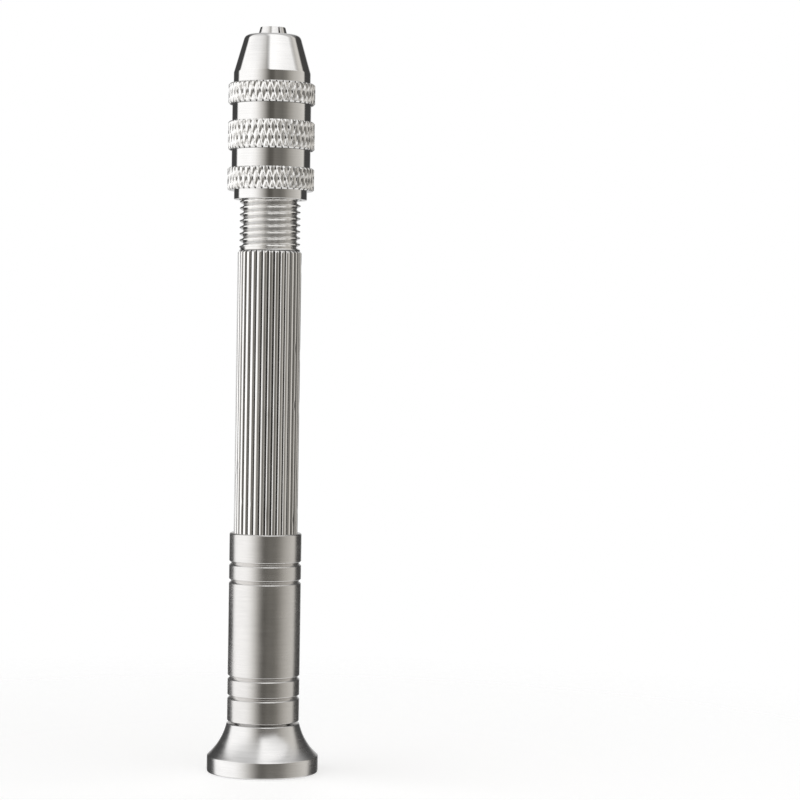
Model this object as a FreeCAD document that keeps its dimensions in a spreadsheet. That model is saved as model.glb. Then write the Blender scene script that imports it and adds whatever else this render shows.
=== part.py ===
import FreeCAD, Part
import math
import os
import re

import Sketcher

# Pin vise drill: a hand-held holder for small twist drills, standing upright on its swivel foot.
# +Z runs along the tool from the foot to the jaws, and the origin is the centre of the foot's underside.
# All lengths are in millimetres and all angles in degrees.

SIZES = {
    # swivel foot
    "foot_radius": 8.7,
    "foot_rounding": 0.3,
    "foot_rim_top": 2.55,
    "foot_top": 7.65,
    "foot_neck_radius": 5.7,
    "foot_edge_chamfer": 0.1,
    "foot_flare_radius": 9.5,
    # steel stem that the foot turns on, its circlip and its washers
    "stem_radius": 1.8,
    "stem_base": 2.0,
    "stem_top": 17.8,
    "stem_chamfer": 0.25,
    "stem_groove_radius": 1.4,
    "stem_groove_base": 16.15,
    "stem_groove_width": 0.55,
    "circlip_radius": 2.9,
    "circlip_thickness": 0.5,
    "circlip_sweep": 300,
    "end_gap": 0.02,
    "washer_bore_radius": 1.9,
    "thrust_washer_radius": 4.4,
    "stem_washer_radius": 3.4,
    "stem_washer_thickness": 0.5,
    # bush pressed into the barrel's rear end
    "bush_radius": 3.2,
    "bush_bore_radius": 1.84,
    "bush_top": 15.6,
    # smooth barrel
    "barrel_radius": 5.625,
    "barrel_base": 7.95,
    "barrel_top": 37.4,
    "barrel_base_chamfer": 0.15,
    "barrel_top_chamfer": 0.15,
    "barrel_bore_radius": 4.0,
    "groove_depth": 0.38,
    "groove_width": 0.7,
    "groove_foot": 11.8,
    "groove_low": 14.85,
    "groove_mid": 29.9,
    "groove_high": 32.7,
    # fluted grip
    "grip_radius": 5.0,
    "grip_top": 81.5,
    "grip_chamfer": 0.3,
    "grip_spigot_base": 28.0,
    "flute_count": 32,
    "flute_depth": 0.38,
    "flute_width": 0.86,
    # threaded chuck spindle
    "joint_gap": 0.02,
    "spindle_tail_radius": 3.6,
    "spindle_tail_base": 69.0,
    "spindle_top": 101.0,
    "spindle_chamfer": 0.5,
    "thread_radius": 4.75,
    "thread_pitch": 1.0,
    "thread_depth": 0.6,
    "thread_groove_width": 0.86,
    "thread_root_width": 0.1,
    "thread_overshoot": 0.3,
    "shank_well_radius": 1.6,
    "shank_well_floor": 72.0,
    "shank_well_mouth_radius": 2.3,
    "jaw_slot_width": 2.0,
    "jaw_slot_floor": 96.8,
    # knurled chuck sleeve
    "sleeve_base": 89.4,
    "sleeve_top": 107.4,
    "sleeve_skirt_radius": 5.7,
    "sleeve_plain_radius": 6.15,
    "knurl_radius": 6.75,
    "low_knurl_base": 90.8,
    "low_knurl_top": 94.3,
    "mid_knurl_base": 97.1,
    "mid_knurl_top": 101.5,
    "high_knurl_base": 104.2,
    "sleeve_bore_radius": 4.85,
    "sleeve_bore_top": 98.5,
    "sleeve_cavity_radius": 5.3,
    "sleeve_seat_radius": 5.75,
    "sleeve_seat_base": 104.3,
    # nose cone
    "nose_gap": 0.05,
    "nose_radius": 6.0,
    "nose_shoulder": 109.1,
    "nose_top": 115.0,
    "nose_top_radius": 4.3,
    "nose_rounding": 0.6,
    # jaws
    "jaw_cone_angle": 15,
    "jaw_cone_gap": 0.05,
    "jaw_top": 116.2,
    "jaw_tip_radius": 1.95,
    "jaw_radius": 4.0,
    "jaw_back_radius": 3.5,
    "jaw_back_base": 101.05,
    "jaw_back_top": 104.0,
    "jaw_back_slope": 0.6,
    "jaw_grip_radius": 0.4,
    "jaw_grip_length": 9.0,
    "jaw_relief_radius": 1.0,
    "jaw_flank_gap": 0.15,
    "jaw_tail_base": 97.0,
    "jaw_tail_inner_radius": 1.7,
    "jaw_tail_radius": 3.4,
    "jaw_tail_width": 1.94,
    # springs between the jaws
    "spring_height": 103.2,
    "spring_axis_radius": 2.35,
    "spring_coil_radius": 0.42,
    "spring_wire_radius": 0.11,
    "spring_pitch": 0.36,
    "spring_turns": 5,
    "spring_hole_radius": 0.6,
    "spring_hole_depth": 1.05,
}

JAW_COUNT = 3
FULL_TURN = 360
HALF_JAW = FULL_TURN / JAW_COUNT / 2

doc = FreeCAD.newDocument("pin_vise_drill")
sheet = doc.addObject("Spreadsheet::Sheet", "Size")
for row, (alias, number) in enumerate(SIZES.items(), start=1):
    sheet.set(f"A{row}", alias)
    sheet.set(f"B{row}", str(number))
    sheet.setAlias(f"B{row}", alias)
doc.recompute()


def bound(text):
    """The expression for a length written with the sheet's names."""
    return re.sub(r"[a-z_]{4,}", lambda word: "Size." + word.group(0), text)


def value(text):
    """What a length written with the sheet's names comes to now."""
    result = sheet.evalExpression(bound(text))
    return float(getattr(result, "Value", result))


def new_body(label):
    body = doc.addObject("PartDesign::Body", label)
    body.Label = label
    return body


def origin_feature(body, role):
    return next(item for item in body.Origin.OriginFeatures if item.Role == role)


def new_sketch(body, name, plane, lift="0", turn=0):
    """A sketch on one of the body's own planes, lifted along the plane's normal and turned about Z."""
    sketch = body.newObject("Sketcher::SketchObject", body.Label + "_" + name)
    sketch.AttachmentSupport = [(origin_feature(body, plane), "")]
    sketch.MapMode = "FlatFace"
    sketch.AttachmentOffset = FreeCAD.Placement(
        FreeCAD.Vector(0, 0, value(lift)),
        FreeCAD.Rotation(FreeCAD.Vector(0, 1, 0), turn),
    )
    if lift != "0":
        sketch.setExpression("AttachmentOffset.Base.z", bound(lift))
    return sketch


def arc_centre(start, end, radius):
    """Centre of an arc from start to end that bends to the right."""
    middle = (start + end) * 0.5
    along = end - start
    right = FreeCAD.Vector(along.y, -along.x, 0).normalize()
    return middle + right * math.sqrt(radius**2 - (along.Length / 2) ** 2)


def draw_outline(sketch, points, bends=None):
    """Draw a closed outline through points given as pairs of lengths.

    bends gives the radius of each edge that is an arc, by the number of its first point. Such an arc is
    drawn clockwise, so its ends are the other way round from a line's.
    """
    bends = bends or {}
    places = [FreeCAD.Vector(value(across), value(up), 0) for across, up in points]
    count = len(places)
    for number, start in enumerate(places):
        end = places[(number + 1) % count]
        if number in bends:
            radius = value(bends[number])
            centre = arc_centre(start, end, radius)
            circle = Part.Circle(centre, FreeCAD.Vector(0, 0, 1), radius)
            sketch.addGeometry(Part.ArcOfCircle(circle, circle.parameter(end), circle.parameter(start)))
        else:
            sketch.addGeometry(Part.LineSegment(start, end))
    for number in range(count):
        after = (number + 1) % count
        own_end = 1 if number in bends else 2
        next_start = 2 if after in bends else 1
        sketch.addConstraint(Sketcher.Constraint("Coincident", number, own_end, after, next_start))
    for number, (across, up) in enumerate(points):
        if number in bends:
            previous = (number - 1) % count
            fix_point(sketch, previous, 2, across, up)
            index = sketch.addConstraint(Sketcher.Constraint("Radius", number, value(bends[number])))
            sketch.setExpression(f"Constraints[{index}]", bound(bends[number]))
        else:
            fix_point(sketch, number, 1, across, up)


def fix_point(sketch, edge, end, across, up):
    """Bind both coordinates of a point to the sheet, or hold it on an axis where a coordinate is zero."""
    for kind, text, axis in (("DistanceX", across, -2), ("DistanceY", up, -1)):
        if value(text) == 0:
            sketch.addConstraint(Sketcher.Constraint("PointOnObject", edge, end, axis))
        else:
            index = sketch.addConstraint(
                Sketcher.Constraint(kind, -1, 1, edge, end, value(text))
            )
            sketch.setExpression(f"Constraints[{index}]", bound(text))


def revolve(body, points, bends=None, sweep="360"):
    """Turn an outline of (radius, height) points about Z."""
    sketch = new_sketch(body, "profile", "XZ_Plane")
    draw_outline(sketch, points, bends)
    feature = body.newObject("PartDesign::Revolution", body.Label + "_turned")
    feature.Profile = sketch
    feature.ReferenceAxis = (sketch, ["V_Axis"])
    feature.Angle = value(sweep)
    if sweep != "360":
        feature.setExpression("Angle", bound(sweep))
    doc.recompute()
    return feature


def groove(body, name, points):
    """Cut a ring of the given (radius, height) outline."""
    sketch = new_sketch(body, name, "XZ_Plane")
    draw_outline(sketch, points)
    feature = body.newObject("PartDesign::Groove", body.Label + "_" + name + "_cut")
    feature.Profile = sketch
    feature.ReferenceAxis = (sketch, ["V_Axis"])
    feature.Angle = FULL_TURN
    doc.recompute()
    return feature


def pocket(body, name, sketch, depth, both_ways=False):
    """Cut a sketch's outline upwards, or both ways from its plane."""
    before = body.Shape.Volume
    feature = body.newObject("PartDesign::Pocket", body.Label + "_" + name + "_cut")
    feature.Profile = sketch
    feature.Reversed = not both_ways
    feature.Midplane = both_ways
    feature.Length = value(depth)
    feature.setExpression("Length", bound(depth))
    doc.recompute()
    if not body.Shape.Volume < before:
        raise RuntimeError(feature.Label + " cuts nothing")
    return feature


def repeat_round(body, feature, count):
    """Repeat a feature evenly about Z."""
    pattern = body.newObject("PartDesign::PolarPattern", feature.Label + "_pattern")
    pattern.Originals = [feature]
    pattern.Axis = (origin_feature(body, "Z_Axis"), [""])
    pattern.Angle = FULL_TURN
    pattern.Occurrences = int(value(count))
    if count in SIZES:
        pattern.setExpression("Occurrences", bound(count))
    body.Tip = pattern
    doc.recompute()
    return pattern


def round_edge(body, feature, radius_text, height_text, rounding):
    """Round the circular edge at one radius and height."""
    names = []
    for number, edge in enumerate(feature.Shape.Edges, start=1):
        box = edge.BoundBox
        level = box.ZLength < 1e-6 and abs(box.ZMin - value(height_text)) < 1e-6
        if level and abs(box.XMax - value(radius_text)) < 1e-6:
            names.append(f"Edge{number}")
    fillet = body.newObject("PartDesign::Fillet", body.Label + "_rounding")
    fillet.Base = (feature, names)
    fillet.Radius = value(rounding)
    fillet.setExpression("Radius", bound(rounding))
    doc.recompute()
    return fillet


def ring(label, inner, outer, base, top):
    """A plain turned ring between two heights."""
    body = new_body(label)
    revolve(body, [(inner, base), (outer, base), (outer, top), (inner, top)])
    return body


def make_foot():
    body = new_body("foot")
    turned = revolve(
        body,
        [
            ("0", "0"),
            ("foot_radius", "0"),
            ("foot_radius", "foot_rim_top"),
            ("foot_neck_radius", "foot_top - foot_edge_chamfer"),
            ("foot_neck_radius - foot_edge_chamfer", "foot_top"),
            ("stem_radius", "foot_top"),
            ("stem_radius", "stem_base"),
            ("0", "stem_base"),
        ],
        bends={2: "foot_flare_radius"},
    )
    round_edge(body, turned, "foot_radius", "0", "foot_rounding")
    return body


def make_foot_stem():
    body = new_body("foot_stem")
    groove_top = "stem_groove_base + stem_groove_width"
    revolve(
        body,
        [
            ("0", "stem_base"),
            ("stem_radius", "stem_base"),
            ("stem_radius", "stem_groove_base"),
            ("stem_groove_radius", "stem_groove_base"),
            ("stem_groove_radius", groove_top),
            ("stem_radius", groove_top),
            ("stem_radius", "stem_top - stem_chamfer"),
            ("stem_radius - stem_chamfer", "stem_top"),
            ("0", "stem_top"),
        ],
    )
    return body


def make_stem_circlip():
    body = new_body("stem_circlip")
    base = "stem_groove_base + end_gap"
    top = base + " + circlip_thickness"
    revolve(
        body,
        [
            ("stem_groove_radius", base),
            ("circlip_radius", base),
            ("circlip_radius", top),
            ("stem_groove_radius", top),
        ],
        sweep="circlip_sweep",
    )
    return body


def make_barrel():
    body = new_body("barrel")
    revolve(
        body,
        [
            ("bush_radius", "barrel_base"),
            ("barrel_radius - barrel_base_chamfer", "barrel_base"),
            ("barrel_radius", "barrel_base + barrel_base_chamfer"),
            ("barrel_radius", "barrel_top - barrel_top_chamfer"),
            ("barrel_radius - barrel_top_chamfer", "barrel_top"),
            ("barrel_bore_radius", "barrel_top"),
            ("barrel_bore_radius", "bush_top"),
            ("bush_radius", "bush_top"),
        ],
    )
    for level in ("groove_foot", "groove_low", "groove_mid", "groove_high"):
        groove(
            body,
            level,
            [
                ("barrel_radius - groove_depth", level),
                ("barrel_radius", level + " - groove_width / 2"),
                ("barrel_radius + groove_depth", level + " - groove_width / 2"),
                ("barrel_radius + groove_depth", level + " + groove_width / 2"),
                ("barrel_radius", level + " + groove_width / 2"),
            ],
        )
    return body


def make_fluted_grip():
    body = new_body("fluted_grip")
    revolve(
        body,
        [
            ("0", "grip_spigot_base"),
            ("barrel_bore_radius - joint_gap", "grip_spigot_base"),
            ("barrel_bore_radius - joint_gap", "barrel_top"),
            ("grip_radius", "barrel_top"),
            ("grip_radius", "grip_top - grip_chamfer"),
            ("grip_radius - grip_chamfer", "grip_top"),
            ("spindle_tail_radius", "grip_top"),
            ("spindle_tail_radius", "spindle_tail_base"),
            ("0", "spindle_tail_base"),
        ],
    )
    sketch = new_sketch(body, "flute", "XY_Plane", lift="barrel_top")
    draw_outline(
        sketch,
        [
            ("grip_radius - flute_depth", "0"),
            ("grip_radius + flute_depth", "0 - flute_width"),
            ("grip_radius + flute_depth", "flute_width"),
        ],
    )
    flute = pocket(body, "flute", sketch, "grip_top - barrel_top")
    repeat_round(body, flute, "flute_count")
    return body


def make_chuck_spindle():
    """The steel spindle, whose well opens out into a cone between the jaw slots.

    The slots are cut across the blank before its thread.
    """
    body = new_body("chuck_spindle")
    revolve(
        body,
        [
            ("0", "spindle_tail_base"),
            ("spindle_tail_radius - joint_gap", "spindle_tail_base"),
            ("spindle_tail_radius - joint_gap", "grip_top"),
            ("thread_radius", "grip_top"),
            ("thread_radius", "spindle_top - spindle_chamfer"),
            ("thread_radius - spindle_chamfer", "spindle_top"),
            ("shank_well_mouth_radius", "spindle_top"),
            ("shank_well_radius", "jaw_slot_floor"),
            ("shank_well_radius", "shank_well_floor"),
            ("0", "shank_well_floor"),
        ],
    )
    sketch = new_sketch(body, "slot", "XY_Plane", lift="jaw_slot_floor")
    half_slot = "jaw_slot_width / 2"
    draw_outline(
        sketch,
        [
            ("0", "0 - " + half_slot),
            ("thread_radius + jaw_slot_width", "0 - " + half_slot),
            ("thread_radius + jaw_slot_width", half_slot),
            ("0", half_slot),
        ],
    )
    slot = pocket(body, "slot", sketch, "spindle_top - jaw_slot_floor + jaw_slot_width")
    repeat_round(body, slot, str(JAW_COUNT))
    cut_thread(body)
    return body


def cut_thread(body):
    """Cut the right-hand V thread from the grip's top face to past the spindle's end."""
    sketch = new_sketch(body, "thread", "XZ_Plane")
    first_root = "grip_top - thread_pitch / 2"
    outside = "thread_radius + thread_overshoot"
    # the groove's flanks carry on at the same slope outside the major diameter
    slope = "(thread_groove_width - thread_root_width) / 2 / thread_depth"
    half_mouth = f"(thread_root_width / 2 + (thread_depth + thread_overshoot) * {slope})"
    length = "spindle_top - grip_top + 3 / 2 * thread_pitch"
    draw_outline(
        sketch,
        [
            ("thread_radius - thread_depth", first_root + " - thread_root_width / 2"),
            (outside, first_root + " - " + half_mouth),
            (outside, first_root + " + " + half_mouth),
            ("thread_radius - thread_depth", first_root + " + thread_root_width / 2"),
        ],
    )
    helix = body.newObject("PartDesign::SubtractiveHelix", body.Label + "_thread_cut")
    helix.Profile = sketch
    helix.ReferenceAxis = (sketch, ["V_Axis"])
    helix.Mode = 0
    helix.Pitch = value("thread_pitch")
    helix.Height = value(length)
    helix.setExpression("Pitch", bound("thread_pitch"))
    helix.setExpression("Height", bound(length))
    helix.Angle = 0
    helix.LeftHanded = False
    helix.Reversed = False
    doc.recompute()
    return helix


def make_chuck_sleeve():
    body = new_body("chuck_sleeve")
    revolve(
        body,
        [
            ("sleeve_bore_radius", "sleeve_base"),
            ("sleeve_skirt_radius", "sleeve_base"),
            ("sleeve_skirt_radius", "low_knurl_base"),
            ("knurl_radius", "low_knurl_base"),
            ("knurl_radius", "low_knurl_top"),
            ("sleeve_plain_radius", "low_knurl_top"),
            ("sleeve_plain_radius", "mid_knurl_base"),
            ("knurl_radius", "mid_knurl_base"),
            ("knurl_radius", "mid_knurl_top"),
            ("sleeve_plain_radius", "mid_knurl_top"),
            ("sleeve_plain_radius", "high_knurl_base"),
            ("knurl_radius", "high_knurl_base"),
            ("knurl_radius", "sleeve_top"),
            ("sleeve_seat_radius", "sleeve_top"),
            ("sleeve_seat_radius", "sleeve_seat_base"),
            ("sleeve_cavity_radius", "sleeve_seat_base"),
            ("sleeve_cavity_radius", "sleeve_bore_top"),
            ("sleeve_bore_radius", "sleeve_bore_top"),
        ],
    )
    return body


def make_chuck_nose():
    body = new_body("chuck_nose")
    spigot_base = "sleeve_seat_base + nose_gap"
    spigot_radius = "sleeve_seat_radius - nose_gap"
    seat_radius = "jaw_tip_radius + jaw_cone_gap + (jaw_top - {}) * tan(jaw_cone_angle * 1 deg)"
    turned = revolve(
        body,
        [
            (seat_radius.format("(" + spigot_base + ")"), spigot_base),
            (spigot_radius, spigot_base),
            (spigot_radius, "sleeve_top + nose_gap"),
            ("nose_radius", "sleeve_top + nose_gap"),
            ("nose_radius", "nose_shoulder"),
            ("nose_top_radius", "nose_top"),
            (seat_radius.format("nose_top"), "nose_top"),
        ],
    )
    round_edge(body, turned, "nose_top_radius", "nose_top", "nose_rounding")
    return body


def make_chuck_jaw(number):
    """One of the three jaws: a tapered wedge whose tail slides in a slot of the spindle."""
    body = new_body(f"chuck_jaw_{number}")
    cone_base = "jaw_top - (jaw_radius - jaw_tip_radius) / tan(jaw_cone_angle * 1 deg)"
    grip_base = "jaw_top - jaw_grip_length"
    revolve(
        body,
        [
            ("jaw_relief_radius", "jaw_back_base"),
            ("jaw_back_radius", "jaw_back_base"),
            ("jaw_back_radius", "jaw_back_top"),
            ("jaw_radius", "jaw_back_top + jaw_back_slope"),
            ("jaw_radius", cone_base),
            ("jaw_tip_radius", "jaw_top"),
            ("jaw_grip_radius", "jaw_top"),
            ("jaw_grip_radius", grip_base),
            ("jaw_relief_radius", grip_base),
        ],
    )
    cut_jaw_flanks(body)
    add_jaw_tail(body)
    for side, turn in (("left", HALF_JAW), ("right", -HALF_JAW)):
        sketch = new_sketch(body, side + "_spring_hole", "XZ_Plane", turn=turn)
        edge = sketch.addGeometry(
            Part.Circle(
                FreeCAD.Vector(value("spring_axis_radius"), value("spring_height"), 0),
                FreeCAD.Vector(0, 0, 1),
                value("spring_hole_radius"),
            )
        )
        for kind, text in (("DistanceX", "spring_axis_radius"), ("DistanceY", "spring_height")):
            index = sketch.addConstraint(Sketcher.Constraint(kind, -1, 1, edge, 3, value(text)))
            sketch.setExpression(f"Constraints[{index}]", bound(text))
        index = sketch.addConstraint(Sketcher.Constraint("Radius", edge, value("spring_hole_radius")))
        sketch.setExpression(f"Constraints[{index}]", bound("spring_hole_radius"))
        pocket(body, side + "_spring_hole", sketch, "2 * spring_hole_depth", both_ways=True)
    place_round(body, number)
    return body


def cut_jaw_flanks(body):
    """Cut away all but a third of a turn, with the flanks set back so the closed jaws don't touch."""
    sketch = new_sketch(body, "flanks", "XY_Plane", lift="jaw_back_base")
    apex = f"jaw_flank_gap / sin({HALF_JAW} deg)"
    reach = "2 * jaw_radius"
    rise = f"({reach} - {apex}) * tan({HALF_JAW} deg)"
    draw_outline(
        sketch,
        [
            (apex, "0"),
            (reach, rise),
            ("0 - " + reach, rise),
            ("0 - " + reach, "0 - " + rise),
            (reach, "0 - " + rise),
        ],
    )
    pocket(body, "flanks", sketch, "jaw_top - jaw_back_base + jaw_radius")


def add_jaw_tail(body):
    sketch = new_sketch(body, "tail", "XY_Plane", lift="jaw_tail_base")
    draw_outline(
        sketch,
        [
            ("jaw_tail_inner_radius", "0 - jaw_tail_width / 2"),
            ("jaw_tail_radius", "0 - jaw_tail_width / 2"),
            ("jaw_tail_radius", "jaw_tail_width / 2"),
            ("jaw_tail_inner_radius", "jaw_tail_width / 2"),
        ],
    )
    tail = body.newObject("PartDesign::Pad", body.Label + "_tail_pad")
    tail.Profile = sketch
    tail.Length = value("jaw_back_top - jaw_tail_base")
    tail.setExpression("Length", bound("jaw_back_top - jaw_tail_base"))
    doc.recompute()


def place_round(item, number):
    """Turn a jaw or a spring to its own third of the circle."""
    angle = FULL_TURN / JAW_COUNT * (number - 1)
    turned = FreeCAD.Placement(FreeCAD.Vector(), FreeCAD.Rotation(FreeCAD.Vector(0, 0, 1), angle))
    item.Placement = turned.multiply(item.Placement)


def make_jaw_spring(number):
    """A small compression spring that pushes two neighbouring jaws apart."""
    label = f"jaw_spring_{number}"
    coil = doc.addObject("Part::Helix", label + "_coil")
    coil.Pitch = value("spring_pitch")
    coil.Height = value("spring_pitch * spring_turns")
    coil.Radius = value("spring_coil_radius")
    coil.setExpression("Pitch", bound("spring_pitch"))
    coil.setExpression("Height", bound("spring_pitch * spring_turns"))
    coil.setExpression("Radius", bound("spring_coil_radius"))
    wire = doc.addObject("Part::Circle", label + "_wire")
    wire.Radius = value("spring_wire_radius")
    wire.setExpression("Radius", bound("spring_wire_radius"))
    wire.Placement = FreeCAD.Placement(
        FreeCAD.Vector(value("spring_coil_radius"), 0, 0),
        FreeCAD.Rotation(FreeCAD.Vector(1, 0, 0), 90),
    )
    wire.setExpression("Placement.Base.x", bound("spring_coil_radius"))
    spring = doc.addObject("Part::Sweep", label)
    spring.Sections = [wire]
    spring.Spine = (coil, [])
    spring.Solid = True
    spring.Frenet = True
    doc.recompute()
    between_jaws = math.radians(HALF_JAW)
    outward = FreeCAD.Vector(math.cos(between_jaws), math.sin(between_jaws), 0)
    across = FreeCAD.Vector(outward.y, -outward.x, 0)
    half_length = value("spring_pitch * spring_turns / 2")
    spring.Placement = FreeCAD.Placement(
        outward * value("spring_axis_radius")
        - across * half_length
        + FreeCAD.Vector(0, 0, value("spring_height")),
        FreeCAD.Rotation(FreeCAD.Vector(0, 0, 1), across),
    )
    place_round(spring, number)
    return spring


def make_all():
    pieces = [
        make_foot(),
        make_foot_stem(),
        make_stem_circlip(),
        ring(
            "thrust_washer",
            "washer_bore_radius",
            "thrust_washer_radius",
            "foot_top + end_gap",
            "barrel_base",
        ),
        ring("stem_bush", "bush_bore_radius", "bush_radius", "barrel_base", "bush_top"),
        ring(
            "stem_washer",
            "washer_bore_radius",
            "stem_washer_radius",
            "bush_top",
            "bush_top + stem_washer_thickness",
        ),
        make_barrel(),
        make_fluted_grip(),
        make_chuck_spindle(),
        make_chuck_sleeve(),
        make_chuck_nose(),
    ]
    for number in range(1, JAW_COUNT + 1):
        pieces.append(make_chuck_jaw(number))
        pieces.append(make_jaw_spring(number))
    doc.recompute()
    return pieces


def check_and_export(pieces):
    """Stop on any failed object or bad shape, then write one STEP file for each piece."""
    failed = [
        item.Label for item in doc.Objects if {"Invalid", "Error"} & set(item.State)
    ]
    for piece in pieces:
        shape = piece.Shape
        if shape.isNull() or not shape.isValid() or len(shape.Solids) != 1:
            failed.append(piece.Label + " (shape)")
    if failed:
        raise RuntimeError("failed: " + ", ".join(failed))
    os.makedirs("parts", exist_ok=True)
    for piece in pieces:
        piece.Shape.exportStep(f"parts/{piece.Label}.step")
        box = piece.Shape.BoundBox
        print(
            f"{piece.Label:16s} z {box.ZMin:7.2f} to {box.ZMax:7.2f}"
            f"  width {box.XLength:6.2f}  volume {piece.Shape.Volume:9.2f}"
        )


check_and_export(make_all())
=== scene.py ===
import math
import random

import bmesh
import bpy
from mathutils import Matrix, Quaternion, Vector, noise


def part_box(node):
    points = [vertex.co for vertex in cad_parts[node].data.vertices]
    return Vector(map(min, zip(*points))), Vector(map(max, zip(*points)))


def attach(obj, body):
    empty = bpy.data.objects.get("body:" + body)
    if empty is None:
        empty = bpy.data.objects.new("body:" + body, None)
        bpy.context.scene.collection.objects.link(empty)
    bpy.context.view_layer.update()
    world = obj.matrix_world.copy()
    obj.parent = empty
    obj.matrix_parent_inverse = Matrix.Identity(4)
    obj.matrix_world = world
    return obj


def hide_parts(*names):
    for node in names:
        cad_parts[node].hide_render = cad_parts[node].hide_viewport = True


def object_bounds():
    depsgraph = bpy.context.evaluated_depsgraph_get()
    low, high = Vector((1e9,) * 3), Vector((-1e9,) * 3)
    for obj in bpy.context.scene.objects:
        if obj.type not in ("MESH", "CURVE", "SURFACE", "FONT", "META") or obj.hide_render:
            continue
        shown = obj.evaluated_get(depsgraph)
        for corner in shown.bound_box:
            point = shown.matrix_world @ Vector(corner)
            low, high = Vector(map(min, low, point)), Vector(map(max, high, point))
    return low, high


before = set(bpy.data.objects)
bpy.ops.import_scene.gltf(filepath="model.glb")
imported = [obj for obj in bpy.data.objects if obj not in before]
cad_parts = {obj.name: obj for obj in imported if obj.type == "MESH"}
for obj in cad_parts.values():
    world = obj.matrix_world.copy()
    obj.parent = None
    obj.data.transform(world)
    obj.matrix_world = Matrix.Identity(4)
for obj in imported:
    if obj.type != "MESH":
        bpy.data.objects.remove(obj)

CAD_LOW, CAD_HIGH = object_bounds()

# Everything is in metres; MM turns the millimetres of a workshop drawing into them.
MM = 0.001
TURN = 2 * math.pi

# ---- sizes that the frame's boxes don't give -------------------------------------------------
EDGE_BREAK = 0.07 * MM
CORNER_STEPS = 4
CORNER_LIMIT = 0.45  # of a side, as far as a rounded corner may reach along it
ON_AXIS = 1e-7  # a ring smaller than this is a single point
TURNED_SEGMENTS = 192
TURNED_CREASE = 28  # degrees, from which an edge of a turned piece is sharp

FOOT_RIM_HEIGHT = 2.55 * MM
FOOT_FLARE_RADIUS = 9.5 * MM
FOOT_FLARE_STEPS = 14
FOOT_NECK_OVERHANG = 0.075 * MM  # past the barrel's radius
FOOT_LIP = 0.1 * MM
FOOT_LOWER_ROUNDING = 0.3 * MM
FOOT_RIM_ROUNDING = 0.12 * MM
FOOT_NECK_ROUNDING = 0.05 * MM
FOOT_LIP_ROUNDING = 0.04 * MM
FOOT_SEGMENTS = 224
STEM_RADIUS = 1.8 * MM

BARREL_GROOVES = (3.85 * MM, 6.9 * MM, 21.95 * MM, 24.75 * MM)  # above the barrel's lower edge
BARREL_GROOVE_DEPTH = 0.38 * MM
BARREL_GROOVE_WIDTH = 0.72 * MM
BARREL_CHAMFER = 0.15 * MM
BARREL_ROUNDING = 0.05 * MM
BARREL_BORE = 4.0 * MM

FLUTES = 32
FLUTE_SWEEP = 0.12 * MM  # how far a rounded ridge falls away at its sides
FLUTE_NOTCH = 0.22 * MM  # how much deeper the notch between two ridges is
FLUTE_NOTCH_SHARE = 0.54  # of the pitch
FLUTE_POINTS = 16
GRIP_END_CHAMFER = 0.35 * MM
GRIP_END_STEPS = 6
GRIP_STEPS = 130
GRIP_CREASE = 42
GRIP_SPIGOT_RADIUS = 3.98 * MM
GRIP_SOCKET_RADIUS = 3.6 * MM
NICKS = 26
NICK_SEED = 11
NICK_CLEAR_OF_ENDS = 1.0 * MM
NICK_LENGTHS = (0.35, 1.1)  # mm
NICK_DEPTHS = (0.03, 0.09)  # mm
NICK_WIDTH = 0.3 * MM
NICK_REACH = 3  # lengths, beyond which a nick has faded out

KNURL_TEETH = 40
KNURL_DEEP_GROOVE = 0.20 * MM  # leaning to the left
KNURL_SHALLOW_GROOVE = 0.14 * MM  # leaning to the right
KNURL_GROOVE_SHARE = 0.52  # of the pitch
KNURL_DIAMOND_HEIGHT = 3.15 * MM
KNURL_FINENESS = 8
KNURL_END_CHAMFER = 0.2 * MM
KNURL_GROOVE_CURVE = 1.1
KNURL_UNEVENNESS = 0.05 * MM
KNURL_COARSE_NOISE = 1.3  # waves per mm
KNURL_FINE_NOISE = 3.1
KNURL_FINE_SHARE = 0.6
KNURL_CREASE = 30
# heights above the sleeve's lower edge, where each knurled band starts and stops
KNURL_BANDS = ((1.4 * MM, 4.9 * MM), (7.7 * MM, 12.1 * MM), (14.8 * MM, 18.0 * MM))
SLEEVE_SKIRT_RADIUS = 5.7 * MM
SLEEVE_SKIRT_ROUNDING = 0.12 * MM
SLEEVE_PLAIN_RADIUS = 6.15 * MM
SLEEVE_BORE = 4.85 * MM
SLEEVE_BORE_HEIGHT = 9.1 * MM
SLEEVE_CAVITY = 5.3 * MM
SLEEVE_SEAT = 5.75 * MM
SLEEVE_SEAT_HEIGHT = 14.9 * MM

NOSE_SHOULDER_DROP = 5.9 * MM  # below the nose's top face
NOSE_FLANGE_DROP = 7.55 * MM
NOSE_TOP_RADIUS = 4.3 * MM
NOSE_ROUNDING = 0.7 * MM
NOSE_EDGE_ROUNDING = 0.12 * MM
NOSE_SPIGOT_RADIUS = 5.7 * MM
NOSE_MOUTH_RADIUS = 2.34 * MM
NOSE_SEAT_RADIUS = 5.18 * MM

THREAD_RADIUS = 4.75 * MM
THREAD_PITCH = 1.0 * MM
THREAD_DEPTH = 0.6 * MM
THREAD_RUNOUT = 0.5  # of the pitch, over which it starts at the grip
THREAD_FLAT = 0.14  # of the pitch, at the crest and again at the root
THREAD_FINENESS = 24  # rings to each turn
THREAD_SEGMENTS = 112
THREAD_CREASE = 40
SPINDLE_TAIL_RADIUS = 3.58 * MM
SPINDLE_WELL_RADIUS = 1.6 * MM
SPINDLE_WELL_HEIGHT = 3.0 * MM  # above the tail's end
SPINDLE_MOUTH_RADIUS = 2.3 * MM
SPINDLE_END_CHAMFER = 0.5 * MM
JAWS = 3
JAW_SLOT_DEPTH = 4.2 * MM
JAW_SLOT_WIDTH = 2.0 * MM


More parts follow.
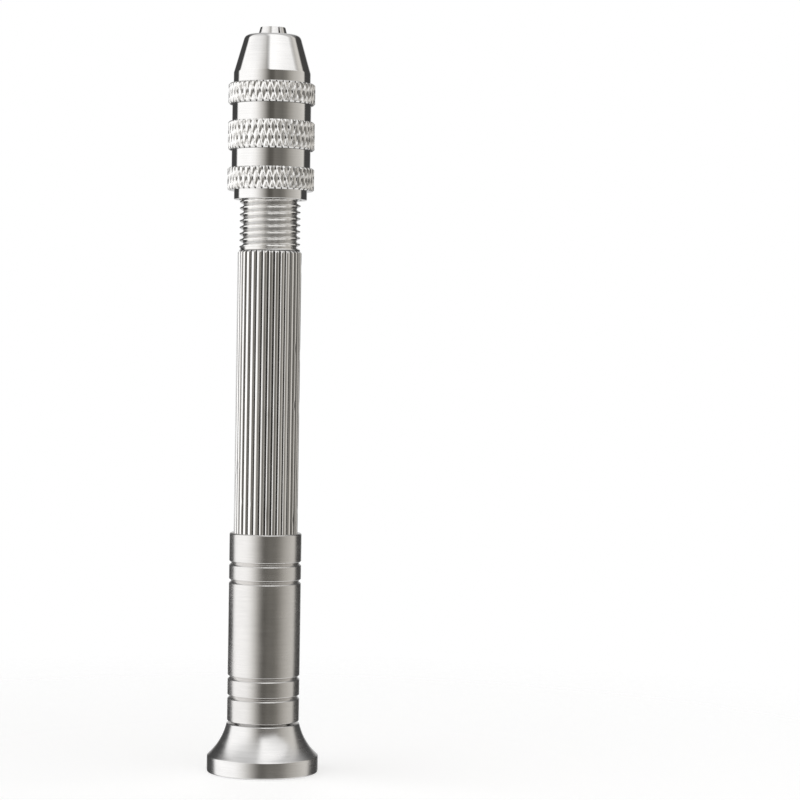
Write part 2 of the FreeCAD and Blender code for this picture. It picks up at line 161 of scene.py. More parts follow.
# ---- turned pieces ---------------------------------------------------------------------------
def softened(outline, closed):
    """The outline with each corner rounded off by its own radius, or by EDGE_BREAK."""
    points = []
    count = len(outline)
    for number, corner in enumerate(outline):
        place = Vector(corner[:2])
        if not closed and number in (0, count - 1):
            points.append(place)
            continue
        before = Vector(outline[number - 1][:2]) - place
        after = Vector(outline[(number + 1) % count][:2]) - place
        reach = corner[2] if len(corner) > 2 else EDGE_BREAK
        if reach == 0:
            points.append(place)
            continue
        reach = min(reach, before.length * CORNER_LIMIT, after.length * CORNER_LIMIT)
        start = place + before.normalized() * reach
        end = place + after.normalized() * reach
        for step in range(CORNER_STEPS + 1):
            share = step / CORNER_STEPS
            bend = start * (1 - share) ** 2 + place * 2 * share * (1 - share) + end * share**2
            points.append(bend)
    return points


def arc_points(start, end, radius, steps):
    """Points of an arc from start to end that bends to the right, without its ends."""
    start, end = Vector(start), Vector(end)
    along = end - start
    right = Vector((along.y, -along.x)).normalized()
    centre = (start + end) / 2 + right * math.sqrt(radius**2 - (along.length / 2) ** 2)
    first = math.atan2(*(start - centre).yx)
    last = math.atan2(*(end - centre).yx)
    inner = []
    for step in range(1, steps):
        angle = first + (last - first) * step / steps
        inner.append((centre.x + radius * math.cos(angle), centre.y + radius * math.sin(angle), 0))
    return inner


def ring(height, radius, offset=0.0):
    """One ring of a piece: radius is a length or a function of the angle, offset a turn in segments."""
    return {"height": height, "radius": radius, "offset": offset}


def rings_of(points):
    return [ring(point.y, point.x) for point in points]


def stitch(name, rings, segments, closed):
    """A mesh through a stack of rings, capped by a point on the axis or closed from last to first."""
    mesh = bmesh.new()
    loops = []
    for item in rings:
        shape, height, offset = item["radius"], item["height"], item["offset"]
        if not callable(shape) and shape < ON_AXIS:
            loops.append(([mesh.verts.new((0, 0, height))], offset))
            continue
        loop = []
        for number in range(segments):
            angle = (number + offset) * TURN / segments
            radius = shape(angle) if callable(shape) else shape
            loop.append(mesh.verts.new((radius * math.cos(angle), radius * math.sin(angle), height)))
        loops.append((loop, offset))
    pairs = list(zip(loops, loops[1:]))
    if closed:
        pairs.append((loops[-1], loops[0]))
    for (lower, lower_offset), (upper, upper_offset) in pairs:
        join_rings(mesh, lower, upper, upper_offset - lower_offset, segments)
    bmesh.ops.recalc_face_normals(mesh, faces=mesh.faces)
    data = bpy.data.meshes.new(name)
    mesh.to_mesh(data)
    mesh.free()
    piece = bpy.data.objects.new(name, data)
    bpy.context.scene.collection.objects.link(piece)
    return piece


def join_rings(mesh, lower, upper, shift, segments):
    if len(lower) == 1 or len(upper) == 1:
        pole, loop = (lower[0], upper) if len(lower) == 1 else (upper[0], lower)
        for number in range(segments):
            mesh.faces.new((pole, loop[number], loop[(number + 1) % segments]))
        return
    for number in range(segments):
        after = (number + 1) % segments
        if shift == 0:
            mesh.faces.new((lower[number], lower[after], upper[after], upper[number]))
        elif shift > 0:
            mesh.faces.new((lower[number], lower[after], upper[number]))
            mesh.faces.new((lower[after], upper[after], upper[number]))
        else:
            mesh.faces.new((lower[number], upper[after], upper[number]))
            mesh.faces.new((lower[number], lower[after], upper[after]))


def shade(piece, degrees):
    """Smooth shading that breaks at edges sharper than the angle."""
    piece.data.shade_smooth()
    piece.data.set_sharp_from_angle(angle=math.radians(degrees))


# ---- materials -------------------------------------------------------------------------------
def node(tree, kind, **settings):
    made = tree.nodes.new(kind)
    for key, setting in settings.items():
        if key in made.inputs:
            made.inputs[key].default_value = setting
        else:
            setattr(made, key, setting)
    return made


def stretched_noise(tree, coordinates, scale, detail):
    """Noise whose grain is drawn out by a different scale along each axis."""
    mapping = node(tree, "ShaderNodeMapping", Scale=scale)
    tree.links.new(coordinates, mapping.inputs["Vector"])
    grain = node(tree, "ShaderNodeTexNoise", Scale=1.0, Detail=detail, Roughness=0.6)
    tree.links.new(mapping.outputs["Vector"], grain.inputs["Vector"])
    return grain.outputs["Fac"]


def ranged(tree, source, low, high, to_low, to_high):
    part = node(tree, "ShaderNodeMapRange")
    part.inputs["From Min"].default_value = low
    part.inputs["From Max"].default_value = high
    part.inputs["To Min"].default_value = to_low
    part.inputs["To Max"].default_value = to_high
    tree.links.new(source, part.inputs["Value"])
    return part.outputs["Result"]


def math_node(tree, operation, first, second):
    part = tree.nodes.new("ShaderNodeMath")
    part.operation = operation
    for socket, item in zip(part.inputs, (first, second)):
        if isinstance(item, (int, float)):
            socket.default_value = item
        else:
            tree.links.new(item, socket)
    return part.outputs["Value"]


def axis_distance(tree, coordinates):
    """Distance from the tool's axis."""
    parts = tree.nodes.new("ShaderNodeSeparateXYZ")
    tree.links.new(coordinates, parts.inputs["Vector"])
    flat = tree.nodes.new("ShaderNodeCombineXYZ")
    tree.links.new(parts.outputs["X"], flat.inputs["X"])
    tree.links.new(parts.outputs["Y"], flat.inputs["Y"])
    length = tree.nodes.new("ShaderNodeVectorMath")
    length.operation = "LENGTH"
    tree.links.new(flat.outputs["Vector"], length.inputs[0])
    return length.outputs["Value"]


TURNED_GRAIN = (220.0, 220.0, 5200.0)
DRAWN_GRAIN = (2600.0, 2600.0, 160.0)
EVEN_GRAIN = (1500.0, 1500.0, 1500.0)
THREAD_GRAIN = (900.0, 900.0, 2500.0)
SMUDGE_GRAIN = (140.0, 140.0, 110.0)
PIT_GRAIN = (3200.0, 3200.0, 3200.0)
PIT_SHARE = 0.25  # of the relief


def metal(name, colour, roughness, grain, relief, anisotropy=0.0, roots=None, root_tint=1.0):
    """Worked metal.

    grain is how many marks there are per metre along each axis, and relief how deep they are. roots are
    the distances from the axis of a groove's root, where the metal is darkened to root_tint as painted
    shade and made rougher, and of the place where the painted shade and the extra roughness end.
    """
    material = bpy.data.materials.new(name)
    material.use_nodes = True
    tree = material.node_tree
    shader = tree.nodes["Principled BSDF"]
    shader.inputs["Metallic"].default_value = 1.0
    shader.inputs["Anisotropic"].default_value = anisotropy
    place = tree.nodes.new("ShaderNodeTexCoord").outputs["Object"]

    marks = stretched_noise(tree, place, grain, 4.0)
    smudges = stretched_noise(tree, place, SMUDGE_GRAIN, 3.0)
    pits = stretched_noise(tree, place, PIT_GRAIN, 2.0)

    # each noise's usual range is turned into a small change of tone or of gloss
    tone = ranged(tree, smudges, 0.3, 0.7, 0.93, 1.05)
    streaks = ranged(tree, marks, 0.25, 0.75, 0.94, 1.04)
    tone = math_node(tree, "MULTIPLY", tone, streaks)
    gloss = ranged(tree, smudges, 0.3, 0.7, roughness * 0.82, roughness * 1.2)
    gloss = math_node(tree, "ADD", gloss, ranged(tree, marks, 0.2, 0.8, -0.02, 0.04))
    if roots is not None:
        # painted shade: the colour is darkened towards a groove's root, where shade falls on the real
        # thing; the root is also made rougher
        out_of_root = ranged(tree, axis_distance(tree, place), roots[0], roots[1], 0.0, 1.0)
        tone = math_node(tree, "MULTIPLY", tone, ranged(tree, out_of_root, 0.0, 1.0, root_tint, 1.0))
        gloss = math_node(tree, "ADD", gloss, ranged(tree, out_of_root, 0.0, 1.0, 0.25, 0.0))
    tint = tree.nodes.new("ShaderNodeMix")
    tint.data_type = "RGBA"
    tint.blend_type = "MULTIPLY"
    tint.inputs["Factor"].default_value = 1.0
    tint.inputs["A"].default_value = (*colour, 1.0)
    tree.links.new(tone, tint.inputs["B"])
    tree.links.new(tint.outputs["Result"], shader.inputs["Base Color"])
    tree.links.new(gloss, shader.inputs["Roughness"])

    height = math_node(tree, "ADD", marks, math_node(tree, "MULTIPLY", pits, PIT_SHARE))
    bump = node(tree, "ShaderNodeBump", Strength=1.0, Distance=relief)
    tree.links.new(height, bump.inputs["Height"])
    tree.links.new(bump.outputs["Normal"], shader.inputs["Normal"])
    if anisotropy:
        around = tree.nodes.new("ShaderNodeTangent")
        around.direction_type = "RADIAL"
        around.axis = "Z"
        tree.links.new(around.outputs["Tangent"], shader.inputs["Tangent"])
    return material


SATIN = metal("satin_turned", (0.80, 0.785, 0.77), 0.23, TURNED_GRAIN, 0.0022 * MM, 0.45)
SATIN_FOOT = metal("satin_foot", (0.85, 0.84, 0.832), 0.22, TURNED_GRAIN, 0.0008 * MM, 0.15)
POLISHED = metal("polished_turned", (0.88, 0.87, 0.86), 0.07, TURNED_GRAIN, 0.0006 * MM)
MACHINED = metal("machined_steel", (0.66, 0.65, 0.64), 0.24, EVEN_GRAIN, 0.0015 * MM)
JAW_STEEL = metal("ground_steel", (0.84, 0.83, 0.82), 0.16, EVEN_GRAIN, 0.001 * MM)
WIRE = metal("spring_wire", (0.42, 0.42, 0.43), 0.35, EVEN_GRAIN, 0.001 * MM)
BRONZE = metal("sintered_bronze", (0.62, 0.42, 0.22), 0.45, EVEN_GRAIN, 0.004 * MM)


def dressed(piece, material, slot, body, *nodes):
    """Give a finished piece its material and its body, and hide the CAD nodes that it stands for."""
    piece.data.materials.clear()
    piece.data.materials.append(material)
    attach(piece, body)
    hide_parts(*nodes)
    return piece


def outer_radius(name):
    low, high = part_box(name)
    return (high.x - low.x) / 2


# ---- the foot --------------------------------------------------------------------------------
def make_foot():
    low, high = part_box("foot")
    rim = outer_radius("foot")
    neck = outer_radius("barrel") + FOOT_NECK_OVERHANG
    stem_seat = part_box("foot_stem")[0].z
    rim_edge = (rim, low.z + FOOT_RIM_HEIGHT)
    neck_edge = (neck, high.z - FOOT_LIP)
    outline = [
        (0, low.z),
        (rim, low.z, FOOT_LOWER_ROUNDING),
        (*rim_edge, FOOT_RIM_ROUNDING),
        *arc_points(rim_edge, neck_edge, FOOT_FLARE_RADIUS, FOOT_FLARE_STEPS),
        (*neck_edge, FOOT_NECK_ROUNDING),
        (neck - FOOT_LIP, high.z, FOOT_LIP_ROUNDING),
        (STEM_RADIUS, high.z),
        (STEM_RADIUS, stem_seat),
        (0, stem_seat),
    ]
    piece = stitch("foot_turned", rings_of(softened(outline, False)), FOOT_SEGMENTS, False)
    shade(piece, TURNED_CREASE)
    return dressed(piece, SATIN_FOOT, "satin_aluminium", "foot", "foot")


# ---- the barrel ------------------------------------------------------------------------------
def make_barrel():
    low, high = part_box("barrel")
    radius = outer_radius("barrel")
    bush = outer_radius("stem_bush")
    bush_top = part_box("stem_bush")[1].z
    half = BARREL_GROOVE_WIDTH / 2
    outline = [
        (bush, low.z),
        (radius - BARREL_CHAMFER, low.z, BARREL_ROUNDING),
        (radius, low.z + BARREL_CHAMFER, BARREL_ROUNDING),
    ]
    for lift in BARREL_GROOVES:
        level = low.z + lift
        outline += [
            (radius, level - half),
            (radius - BARREL_GROOVE_DEPTH, level, BARREL_ROUNDING),
            (radius, level + half),
        ]
    outline += [
        (radius, high.z - BARREL_CHAMFER, BARREL_ROUNDING),
        (radius - BARREL_CHAMFER, high.z, BARREL_ROUNDING),
        (BARREL_BORE, high.z),
        (BARREL_BORE, bush_top),
        (bush, bush_top),
    ]
    piece = stitch("barrel_turned", rings_of(softened(outline, True)), TURNED_SEGMENTS, True)
    shade(piece, TURNED_CREASE)
    return dressed(piece, SATIN, "satin_aluminium", "handle", "barrel")


# ---- the fluted grip -------------------------------------------------------------------------
def flute_radius(angle, radius):
    """Radius of a rounded ridge, with a narrow notch between ridges."""
    from_crest = abs((angle * FLUTES / TURN) % 1.0 - 0.5)
    notch = max(0.0, 1 - (0.5 - from_crest) * 2 / FLUTE_NOTCH_SHARE)
    return radius - FLUTE_SWEEP * (2 * from_crest) ** 2 - FLUTE_NOTCH * notch


def make_grip():
    low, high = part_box("fluted_grip")
    barrel_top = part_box("barrel")[1].z
    radius = outer_radius("fluted_grip")
    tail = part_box("chuck_spindle")[0].z
    lowest, highest = barrel_top + NICK_CLEAR_OF_ENDS, high.z - NICK_CLEAR_OF_ENDS
    random.seed(NICK_SEED)
    nicks = []
    for _ in range(NICKS):
        nicks.append(
            {
                "height": random.uniform(lowest, highest),
                "angle": (random.randrange(FLUTES) + 0.5) * TURN / FLUTES,
                "length": random.uniform(*NICK_LENGTHS) * MM,
                "depth": random.uniform(*NICK_DEPTHS) * MM,
            }
        )

    def shape_at(height):
        near_end = max(0.0, GRIP_END_CHAMFER - (high.z - height))
        close = [nick for nick in nicks if abs(nick["height"] - height) < NICK_REACH * nick["length"]]

        def shape(angle):
            value = flute_radius(angle, radius)
            for nick in close:
                turn = (angle - nick["angle"] + math.pi) % TURN - math.pi
                across = turn * radius / NICK_WIDTH
                along = (height - nick["height"]) / nick["length"]
                value -= nick["depth"] * math.exp(-(across**2) - along**2)
            return min(value, radius - near_end)

        return shape

    rings = [
        ring(low.z, 0),
        ring(low.z, GRIP_SPIGOT_RADIUS),
        ring(barrel_top, GRIP_SPIGOT_RADIUS),
    ]
    fluted_top = high.z - GRIP_END_CHAMFER
    for step in range(GRIP_STEPS + 1):
        height = barrel_top + (fluted_top - barrel_top) * step / GRIP_STEPS
        rings.append(ring(height, shape_at(height)))
    for step in range(1, GRIP_END_STEPS + 1):
        height = fluted_top + GRIP_END_CHAMFER * step / GRIP_END_STEPS
        rings.append(ring(height, shape_at(height)))
    rings += [ring(high.z, GRIP_SOCKET_RADIUS), ring(tail, GRIP_SOCKET_RADIUS), ring(tail, 0)]
    piece = stitch("grip_fluted", rings, FLUTES * FLUTE_POINTS, False)
    shade(piece, GRIP_CREASE)
    # painted shade in the notches fades out from just above the notch's floor to just below its mouth
    floor = radius - FLUTE_SWEEP - FLUTE_NOTCH
    valleys = (floor + 0.1 * FLUTE_NOTCH, floor + 0.9 * FLUTE_NOTCH)
    fluted = metal(
        "fluted_drawn",
        (0.98, 0.97, 0.96),
        roughness=0.12,
        grain=DRAWN_GRAIN,
        relief=0.0015 * MM,
        roots=valleys,
        root_tint=0.08,
    )
    return dressed(piece, fluted, "satin_aluminium", "handle", "fluted_grip")


# ---- the chuck sleeve ------------------------------------------------------------------------
def groove_depth(phase):
    """Share of a groove's depth at a phase, from 0 on a crest to 1 on the groove's floor."""
    from_floor = min(phase % 1.0, -phase % 1.0) * 2 / KNURL_GROOVE_SHARE
    return max(0.0, 1 - from_floor) ** KNURL_GROOVE_CURVE


def knurl_rings(low, high, radius, floor):
    """Rings of one knurled band, staggered so that mesh edges follow both families of grooves."""
    row_height = KNURL_DIAMOND_HEIGHT / (2 * KNURL_FINENESS)
    rows = 2 * round((high - low) / row_height / 2)
    rings = []
    for row in range(rows + 1):
        height = low + (high - low) * row / rows
        from_end = min(height - low, high - height)
        worn = KNURL_END_CHAMFER * max(0.0, 1 - from_end / KNURL_END_CHAMFER)
        up = row / (2 * KNURL_FINENESS)

        def shape(angle, height=height, worn=worn, up=up):
            around = angle * KNURL_TEETH / TURN
            cut = KNURL_DEEP_GROOVE * groove_depth(around + up)
            cut += KNURL_SHALLOW_GROOVE * groove_depth(around - up)
            place = Vector((math.cos(angle) * radius, math.sin(angle) * radius, height)) / MM
            rough = noise.noise(place * KNURL_COARSE_NOISE)
            rough += KNURL_FINE_SHARE * noise.noise(place * KNURL_FINE_NOISE)
            cut += KNURL_UNEVENNESS * max(0.0, rough)
            return max(floor, radius - max(worn, cut))

        rings.append(ring(height, shape, (row % 2) / 2))
    return rings


def make_sleeve():
    low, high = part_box("chuck_sleeve")
    radius = outer_radius("chuck_sleeve")
    base = low.z
    rings = []

    def plain(points):
        rings.extend(rings_of(softened(points, False)))

    bands = [(base + start, base + stop) for start, stop in KNURL_BANDS]
    plain(
        [
            (SLEEVE_BORE, base),
            (SLEEVE_SKIRT_RADIUS, base, SLEEVE_SKIRT_ROUNDING),
            (SLEEVE_SKIRT_RADIUS, bands[0][0]),
        ]
    )
    for number, (start, stop) in enumerate(bands):
        rings.extend(knurl_rings(start, stop, radius, SLEEVE_PLAIN_RADIUS))
        if number + 1 < len(bands):
            plain([(SLEEVE_PLAIN_RADIUS, stop), (SLEEVE_PLAIN_RADIUS, bands[number + 1][0])])
    plain(
        [
            (SLEEVE_SEAT, high.z),
            (SLEEVE_SEAT, base + SLEEVE_SEAT_HEIGHT),
            (SLEEVE_CAVITY, base + SLEEVE_SEAT_HEIGHT),
            (SLEEVE_CAVITY, base + SLEEVE_BORE_HEIGHT),
            (SLEEVE_BORE, base + SLEEVE_BORE_HEIGHT),
        ]
    )
    piece = stitch("sleeve_knurled", rings, KNURL_TEETH * KNURL_FINENESS, True)
    shade(piece, KNURL_CREASE)
    # painted shade in the knurl's grooves fades out from where the grooves cross up to the deep grooves'
    # floors
    roots = (radius - KNURL_DEEP_GROOVE - 0.8 * KNURL_SHALLOW_GROOVE, radius - 0.9 * KNURL_DEEP_GROOVE)
    knurled = metal(
        "polished_knurled",
        (0.97, 0.96, 0.945),
        roughness=0.26,
        grain=EVEN_GRAIN,
        relief=0.002 * MM,
        roots=roots,
        root_tint=0.06,
    )
    dressed(piece, POLISHED, "polished_plate", "sleeve", "chuck_sleeve")
    piece.data.materials.append(knurled)
    slack = 0.001 * MM
    knurled_from = SLEEVE_PLAIN_RADIUS + 20 * slack
    for face in piece.data.polygons:
        middle = face.center
        on_band = any(start - slack < middle.z < stop + slack for start, stop in bands)
        if on_band and math.hypot(middle.x, middle.y) > knurled_from:
            face.material_index = 1
    return piece


# ---- the nose cone ---------------------------------------------------------------------------
def make_nose():
    low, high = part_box("chuck_nose")
    radius = outer_radius("chuck_nose")
    top = high.z
    flange = top - NOSE_FLANGE_DROP
    outline = [
        (NOSE_SEAT_RADIUS, low.z),
        (NOSE_SPIGOT_RADIUS, low.z),
        (NOSE_SPIGOT_RADIUS, flange),
        (radius, flange),
        (radius, top - NOSE_SHOULDER_DROP, NOSE_EDGE_ROUNDING),
        (NOSE_TOP_RADIUS, top, NOSE_ROUNDING),
        (NOSE_MOUTH_RADIUS, top, NOSE_EDGE_ROUNDING),
    ]
    piece = stitch("nose_turned", rings_of(softened(outline, True)), TURNED_SEGMENTS, True)
    shade(piece, TURNED_CREASE)
    return dressed(piece, POLISHED, "polished_plate", "nose", "chuck_nose")


# ---- the threaded spindle --------------------------------------------------------------------
def cut_away(piece, cutter):
    """Take the cutter out of a piece, and leave a plain mesh."""
    change = piece.modifiers.new("cut", "BOOLEAN")
    change.operation = "DIFFERENCE"
    change.solver = "EXACT"
    change.object = cutter
    bpy.context.view_layer.update()
    seen = piece.evaluated_get(bpy.context.evaluated_depsgraph_get())
    piece.data = bpy.data.meshes.new_from_object(seen)
    piece.modifiers.clear()
    bpy.data.objects.remove(cutter)


def direction(angle):
    return Vector((math.cos(angle), math.sin(angle), 0))


def jaw_slots(low, high, reach):
    """A bar from the axis outwards for each jaw, as one closed mesh, to cut the jaws' slots with."""
    mesh = bmesh.new()
    half = JAW_SLOT_WIDTH / 2
    outline = []
    for number in range(JAWS):
        along = direction(number * TURN / JAWS)
        across = Vector((-along.y, along.x, 0))
        between = direction((number + 0.5) * TURN / JAWS)
        outline.append(along * reach - across * half)
        outline.append(along * reach + across * half)
        outline.append(between * half / math.sin(TURN / (2 * JAWS)))
    rows = [[mesh.verts.new((point.x, point.y, level)) for point in outline] for level in (low, high)]
    count = len(outline)
    for number in range(count):
        after = (number + 1) % count
        mesh.faces.new((rows[0][number], rows[0][after], rows[1][after], rows[1][number]))
    mesh.faces.new(rows[0])
    mesh.faces.new(rows[1])
    bmesh.ops.recalc_face_normals(mesh, faces=mesh.faces)
    data = bpy.data.meshes.new("jaw_slots")
    mesh.to_mesh(data)
    mesh.free()
    cutter = bpy.data.objects.new("jaw_slots", data)
    bpy.context.scene.collection.objects.link(cutter)
    return cutter


def make_spindle():
    low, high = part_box("chuck_spindle")
    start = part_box("fluted_grip")[1].z
    radius = THREAD_RADIUS
    root = radius - THREAD_DEPTH

    def thread_at(height):
        # the thread starts gradually at the grip and ends in a chamfer
        runout = max(0.0, 1 - (height - start) / (THREAD_RUNOUT * THREAD_PITCH))
        near_end = max(0.0, SPINDLE_END_CHAMFER - (high.z - height))

        def shape(angle):
            phase = (height - start) / THREAD_PITCH - angle / TURN
            from_crest = abs((phase + 0.5) % 1.0 - 0.5)
            cut = (from_crest - THREAD_FLAT / 2) / (0.5 - THREAD_FLAT)
            depth = THREAD_DEPTH * min(1.0, max(0.0, cut)) * (1 - runout)
            return max(root, radius - max(depth, near_end))

        return shape

    rings = [ring(low.z, 0), ring(low.z, SPINDLE_TAIL_RADIUS), ring(start, SPINDLE_TAIL_RADIUS)]
    steps = round((high.z - start) / THREAD_PITCH * THREAD_FINENESS)
    for step in range(steps + 1):
        height = start + (high.z - start) * step / steps
        rings.append(ring(height, thread_at(height)))
    rings += [
        ring(high.z, SPINDLE_MOUTH_RADIUS),
        ring(high.z - JAW_SLOT_DEPTH, SPINDLE_WELL_RADIUS),
        ring(low.z + SPINDLE_WELL_HEIGHT, SPINDLE_WELL_RADIUS),
        ring(low.z + SPINDLE_WELL_HEIGHT, 0),
    ]
    piece = stitch("spindle_threaded", rings, THREAD_SEGMENTS, False)
    cutter = jaw_slots(high.z - JAW_SLOT_DEPTH, high.z + JAW_SLOT_WIDTH, radius + JAW_SLOT_WIDTH)
    cut_away(piece, cutter)
    shade(piece, THREAD_CREASE)
    # painted shade darkens the thread's roots, from the root up to 0.16 mm above it
    threaded = metal(
        "threaded_steel",
        (0.93, 0.92, 0.905),
        roughness=0.12,
        grain=THREAD_GRAIN,
        relief=0.002 * MM,
        roots=(root, root + 0.16 * MM),
        root_tint=0.74,
    )
    return dressed(piece, threaded, "steel", "handle", "chuck_spindle")


# ---- CAD nodes that are already the right shape ----------------------------------------------
def finish_cad_nodes():
    finishes = {
        "foot_stem": MACHINED,
        "stem_circlip": MACHINED,
        "thrust_washer": MACHINED,
        "stem_washer": MACHINED,
        "stem_bush": BRONZE,
    }
    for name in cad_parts:
        if name.startswith("chuck_jaw"):
            finishes[name] = JAW_STEEL
        if name.startswith("jaw_spring"):
            finishes[name] = WIRE
    for name, material in finishes.items():
        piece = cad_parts[name]
        for slot in piece.material_slots:
            slot.material = material


# ---- floor, light and camera -----------------------------------------------------------------
FLOOR_RADIUS = 0.16
FLOOR_SOLID_RADIUS = 0.02
FLOOR_CLEAR_RADIUS = FLOOR_RADIUS * 0.92
FLOOR_DROP = 0.01 * MM  # below the foot's face, so that the two don't flicker
FLOOR_GLOW = 0.4


def make_floor():
    """A pale floor that fades out into the pale surroundings."""
    mesh = bmesh.new()
    bmesh.ops.create_circle(mesh, cap_ends=True, segments=128, radius=FLOOR_RADIUS)
    data = bpy.data.meshes.new("floor")
    mesh.to_mesh(data)
    mesh.free()
    floor = bpy.data.objects.new("floor", data)
    floor.location.z = CAD_LOW.z - FLOOR_DROP
    bpy.context.scene.collection.objects.link(floor)
    material = bpy.data.materials.new("pale_floor")
    material.use_nodes = True
    tree = material.node_tree
    shader = tree.nodes["Principled BSDF"]
    shader.inputs["Base Color"].default_value = (0.93, 0.93, 0.93, 1.0)
    shader.inputs["Roughness"].default_value = 0.75
    shader.inputs["Specular IOR Level"].default_value = 0.15
    shader.inputs["Emission Color"].default_value = (1.0, 1.0, 1.0, 1.0)
    shader.inputs["Emission Strength"].default_value = FLOOR_GLOW
    place = tree.nodes.new("ShaderNodeTexCoord").outputs["Object"]
    from_axis = axis_distance(tree, place)
    fade = ranged(tree, from_axis, FLOOR_SOLID_RADIUS, FLOOR_CLEAR_RADIUS, 1.0, 0.0)
    tree.links.new(fade, shader.inputs["Alpha"])
    data.materials.append(material)
    floor.visible_glossy = False


# Studio surroundings as the tool sees them, going round it from the back: each stop is an angle from
# the front in degrees, positive to the right, a brightness and a warmth.
STUDIO_STOPS = (
    (-180, 0.62, 0.00),
    (-165, 0.62, 0.00),
    (-158, 0.06, 0.00),
    (-118, 0.06, 0.00),
    (-112, 1.18, 0.00),
    (-58, 1.15, 0.00),
    (-44, 1.02, 0.01),
    (-32, 0.76, 0.02),
    (-20, 0.46, 0.04),
    (-9, 0.19, 0.06),
    (-2, 0.10, 0.08),
    (7, 0.11, 0.08),
    (14, 0.17, 0.07),
    (34, 0.16, 0.07),
    (46, 0.22, 0.07),
    (58, 0.36, 0.06),
    (72, 0.48, 0.05),
    (111, 0.72, 0.04),
    (118, 0.06, 0.02),
    (160, 0.06, 0.00),
    (167, 0.62, 0.00),
    (180, 0.62, 0.00),
)
OVERHEAD = 0.62
OVERHEAD_FADE = (0.50, 0.95)  # of the direction's height, where the ring gives way to it
UNDERFOOT = 0.85
UNDERFOOT_FADE = (-0.35, -0.65)


def make_studio():
    """Surroundings for light and reflections; seen directly they are plain and pale."""
    world = bpy.data.worlds.new("studio")
    bpy.context.scene.world = world
    world.use_nodes = True
    tree = world.node_tree
    tree.nodes.clear()
    direction = tree.nodes.new("ShaderNodeTexCoord").outputs["Generated"]
    parts = tree.nodes.new("ShaderNodeSeparateXYZ")
    tree.links.new(direction, parts.inputs["Vector"])
    to_front = math_node(tree, "MULTIPLY", parts.outputs["Y"], -1.0)
    azimuth = math_node(tree, "ARCTAN2", parts.outputs["X"], to_front)
    around = ranged(tree, azimuth, -math.pi, math.pi, 0.0, 1.0)
    band = tree.nodes.new("ShaderNodeValToRGB")
    stops = band.color_ramp.elements
    while len(stops) > 1:
        stops.remove(stops[-1])
    for number, (degrees, light, warmth) in enumerate(STUDIO_STOPS):
        place = (degrees + 180) / 360
        stop = stops[0] if number == 0 else stops.new(place)
        stop.position = place
        stop.color = (light, light * (1 - warmth * 0.7), light * (1 - warmth * 2), 1.0)
    tree.links.new(around, band.inputs["Fac"])
    up = ranged(tree, parts.outputs["Z"], *OVERHEAD_FADE, 0.0, 1.0)
    down = ranged(tree, parts.outputs["Z"], *UNDERFOOT_FADE, 0.0, 1.0)
    colour = band.outputs["Color"]
    for share, level in ((up, OVERHEAD), (down, UNDERFOOT)):
        blend = tree.nodes.new("ShaderNodeMix")
        blend.data_type = "RGBA"
        tree.links.new(share, blend.inputs["Factor"])
        tree.links.new(colour, blend.inputs["A"])
        blend.inputs["B"].default_value = (level, level, level, 1.0)
        colour = blend.outputs["Result"]
    lit = tree.nodes.new("ShaderNodeBackground")
    tree.links.new(colour, lit.inputs["Color"])
    seen = node(tree, "ShaderNodeBackground", Color=(1.0, 1.0, 1.0, 1.0), Strength=1.0)
    path = tree.nodes.new("ShaderNodeLightPath")
    choice = tree.nodes.new("ShaderNodeMixShader")
    tree.links.new(path.outputs["Is Camera Ray"], choice.inputs["Fac"])
    tree.links.new(lit.outputs["Background"], choice.inputs[1])
    tree.links.new(seen.outputs["Background"], choice.inputs[2])
    output = tree.nodes.new("ShaderNodeOutputWorld")
    tree.links.new(choice.outputs["Shader"], output.inputs["Surface"])


PANEL_HEIGHT = 0.2
PANEL_HALF_WIDTH = 0.16
PANEL_HALF_DEPTH = 0.17
PANEL_PLACE = (0.118, -0.15)
PANEL_BRIGHTNESS = 1.15
# where the panel dims, as shares of its half width and half depth from the middle
PANEL_LEFT_FADE = (-1.0, -0.8)
PANEL_RIGHT_FADE = (-0.6, 1.0)
PANEL_RIGHT_SHARE = 0.75  # of its brightness, left at its right edge
PANEL_DEPTH_FADE = (0.7, 1.0)


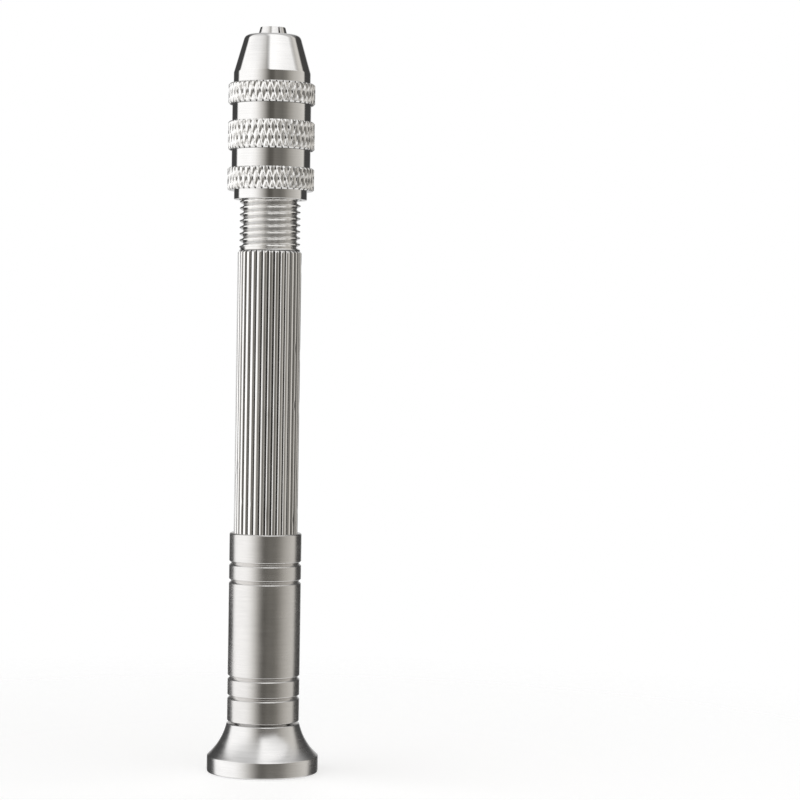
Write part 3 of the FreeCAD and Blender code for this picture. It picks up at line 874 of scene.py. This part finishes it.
def make_panel():
    """A level light panel above the tool, to its front and right, that dims towards its edges."""
    mesh = bmesh.new()
    bmesh.ops.create_grid(mesh, x_segments=1, y_segments=1, size=1.0)
    data = bpy.data.meshes.new("panel")
    mesh.to_mesh(data)
    mesh.free()
    panel = bpy.data.objects.new("panel", data)
    panel.scale = (PANEL_HALF_WIDTH, PANEL_HALF_DEPTH, 1.0)
    panel.location = (*PANEL_PLACE, PANEL_HEIGHT)
    panel.visible_camera = False
    bpy.context.scene.collection.objects.link(panel)
    material = bpy.data.materials.new("panel_light")
    material.use_nodes = True
    tree = material.node_tree
    tree.nodes.clear()
    place = tree.nodes.new("ShaderNodeTexCoord").outputs["Object"]
    parts = tree.nodes.new("ShaderNodeSeparateXYZ")
    tree.links.new(place, parts.inputs["Vector"])
    left = ranged(tree, parts.outputs["X"], *PANEL_LEFT_FADE, 0.0, 1.0)
    right = ranged(tree, parts.outputs["X"], *PANEL_RIGHT_FADE, 1.0, PANEL_RIGHT_SHARE)
    far = math_node(tree, "ABSOLUTE", parts.outputs["Y"], 0.0)
    fade = ranged(tree, far, *PANEL_DEPTH_FADE, 1.0, 0.0)
    share = math_node(tree, "MULTIPLY", math_node(tree, "MULTIPLY", left, right), fade)
    glow = node(tree, "ShaderNodeEmission", Color=(1.0, 1.0, 1.0, 1.0))
    tree.links.new(math_node(tree, "MULTIPLY", share, PANEL_BRIGHTNESS), glow.inputs["Strength"])
    clear = tree.nodes.new("ShaderNodeBsdfTransparent")
    both = tree.nodes.new("ShaderNodeMixShader")
    tree.links.new(share, both.inputs["Fac"])
    tree.links.new(clear.outputs["BSDF"], both.inputs[1])
    tree.links.new(glow.outputs["Emission"], both.inputs[2])
    output = tree.nodes.new("ShaderNodeOutputMaterial")
    tree.links.new(both.outputs["Shader"], output.inputs["Surface"])
    data.materials.append(material)


CAMERA_DISTANCE = 0.389
CAMERA_LENS = 112.0
CAMERA_SENSOR = 36.0
CAMERA_CLIP_START = 0.01
EYE_HEIGHT = 0.0668
AIM_HEIGHT = 0.0585
AIM_RIGHT = 0.0207
CAMERA_ROLL = 0.9


def make_camera():
    data = bpy.data.cameras.new("camera")
    data.lens = CAMERA_LENS
    data.sensor_width = CAMERA_SENSOR
    data.clip_start = CAMERA_CLIP_START
    camera = bpy.data.objects.new("camera", data)
    bpy.context.scene.collection.objects.link(camera)
    camera.location = (AIM_RIGHT, -CAMERA_DISTANCE, EYE_HEIGHT)
    aim = Vector((AIM_RIGHT, 0, AIM_HEIGHT)) - camera.location
    camera.rotation_mode = "QUATERNION"
    roll = Quaternion((0, 0, 1), math.radians(CAMERA_ROLL))
    camera.rotation_quaternion = aim.to_track_quat("-Z", "Y") @ roll
    bpy.context.scene.camera = camera


make_foot()
make_barrel()
make_grip()
make_sleeve()
make_nose()
make_spindle()
finish_cad_nodes()
make_floor()
make_studio()
make_panel()
make_camera()
bpy.context.scene.view_settings.view_transform = "Standard"
